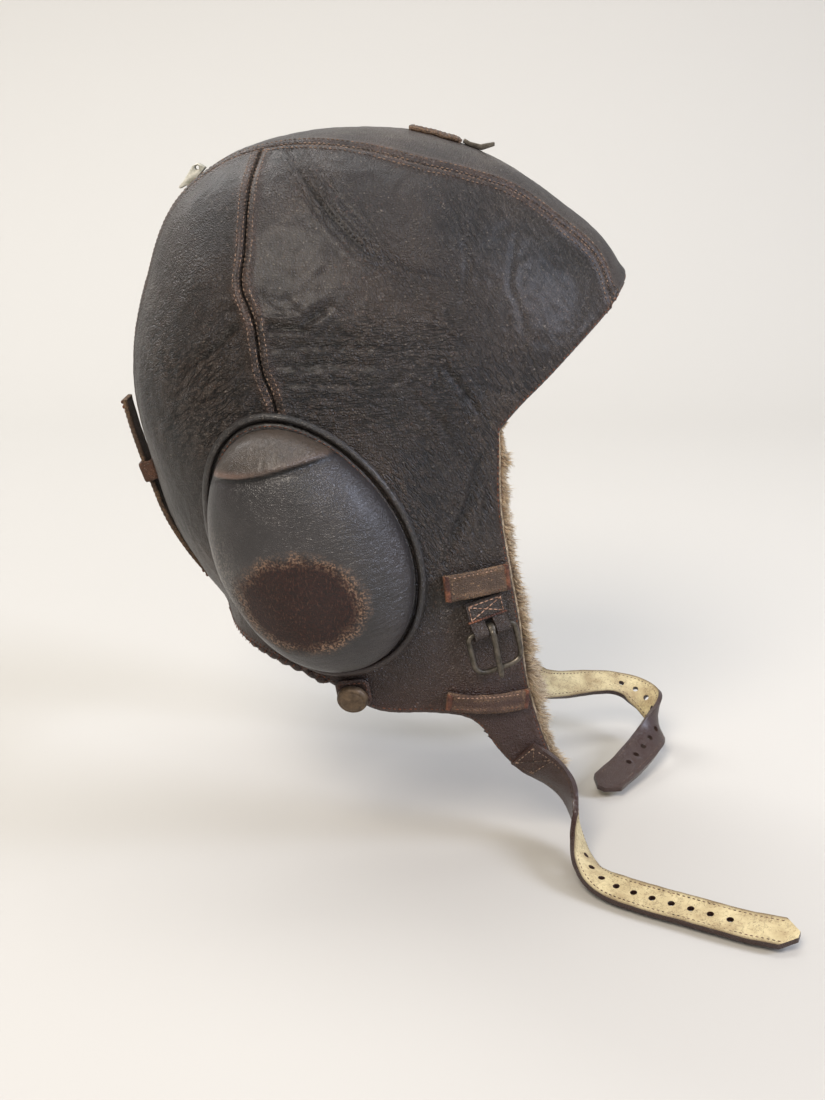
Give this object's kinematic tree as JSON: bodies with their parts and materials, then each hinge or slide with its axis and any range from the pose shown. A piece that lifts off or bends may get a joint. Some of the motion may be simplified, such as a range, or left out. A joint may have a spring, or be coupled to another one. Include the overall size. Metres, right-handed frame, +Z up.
{
  "type": "leather flying helmet",
  "caption": "Soft leather flying helmet with fleece lining, padded ear cups, cheek buckles, open chin straps and a stitched centre strip.",
  "frame": {"origin": "crown seat: the highest point of the hollow, where the top of the wearer's head meets the lining", "axes": "+X to the wearer's front, +Z up, -Y to the wearer's right, which is the side that the picture shows"},
  "size_m": [0.2717, 0.2546, 0.2996],
  "materials": {
    "shell_leather": "aged dark brown, pebbled, creased, soft sheen",
    "cup_leather": "smooth dark leather, worn grey highlights",
    "worn_leather": "rough worn tan-brown leather with red-brown stitching",
    "strap_leather": "pale cream inner face, dark brown outer face, stitched",
    "fleece": "short cream pile",
    "dark_steel": "dulled dark steel",
    "pale_metal": "worn off-white metal"
  },
  "bodies": {
    "shell": {"crown_strip": "shell_leather", "lining": "fleece", "crown_tab": "worn_leather", "crown_hook": "dark_steel", "rear_lug": "pale_metal", "rear_loop": "worn_leather", "rear_loop_block": "worn_leather", "ear_welt_right": "cup_leather", "ear_ring_right": "cup_leather", "ear_cup_right": "cup_leather", "upper_keeper_right": "worn_leather", "lower_keeper_right": "worn_leather", "snap_tab_right": "shell_leather", "snap_cap_right": "dark_steel", "buckle_strap_right": "worn_leather", "front_panel_right": "shell_leather", "rear_panel_right": "shell_leather", "strap_right": "strap_leather", "ear_welt_left": "cup_leather", "ear_ring_left": "cup_leather", "ear_cup_left": "cup_leather", "upper_keeper_left": "worn_leather", "lower_keeper_left": "worn_leather", "snap_tab_left": "shell_leather", "snap_cap_left": "dark_steel", "buckle_strap_left": "worn_leather", "front_panel_left": "shell_leather", "rear_panel_left": "shell_leather", "strap_left": "strap_leather"},
    "buckle_right": {"buckle_frame_right": "dark_steel"},
    "tongue_right": {"buckle_tongue_right": "dark_steel"},
    "buckle_left": {"buckle_frame_left": "dark_steel"},
    "tongue_left": {"buckle_tongue_left": "dark_steel"}
  },
  "joints": [
    {"name": "buckle_swing_right", "type": "hinge", "parent": "shell", "child": "buckle_right", "pos_m": [0.04584, -0.07583, -0.183], "axis": [-0.9228, -0.2998, -0.2419], "range_deg": [0, 75]},
    {"name": "tongue_swing_right", "type": "hinge", "parent": "buckle_right", "child": "tongue_right", "pos_m": [0.04584, -0.07583, -0.183], "axis": [-0.9228, -0.2998, -0.2419], "range_deg": [0, 50]},
    {"name": "buckle_swing_left", "type": "hinge", "parent": "shell", "child": "buckle_left", "pos_m": [0.04584, 0.07583, -0.183], "axis": [0.9228, -0.2998, 0.2419], "range_deg": [0, 75]},
    {"name": "tongue_swing_left", "type": "hinge", "parent": "buckle_left", "child": "tongue_left", "pos_m": [0.04584, 0.07583, -0.183], "axis": [0.9228, -0.2998, 0.2419], "range_deg": [0, 50]}
  ]
}
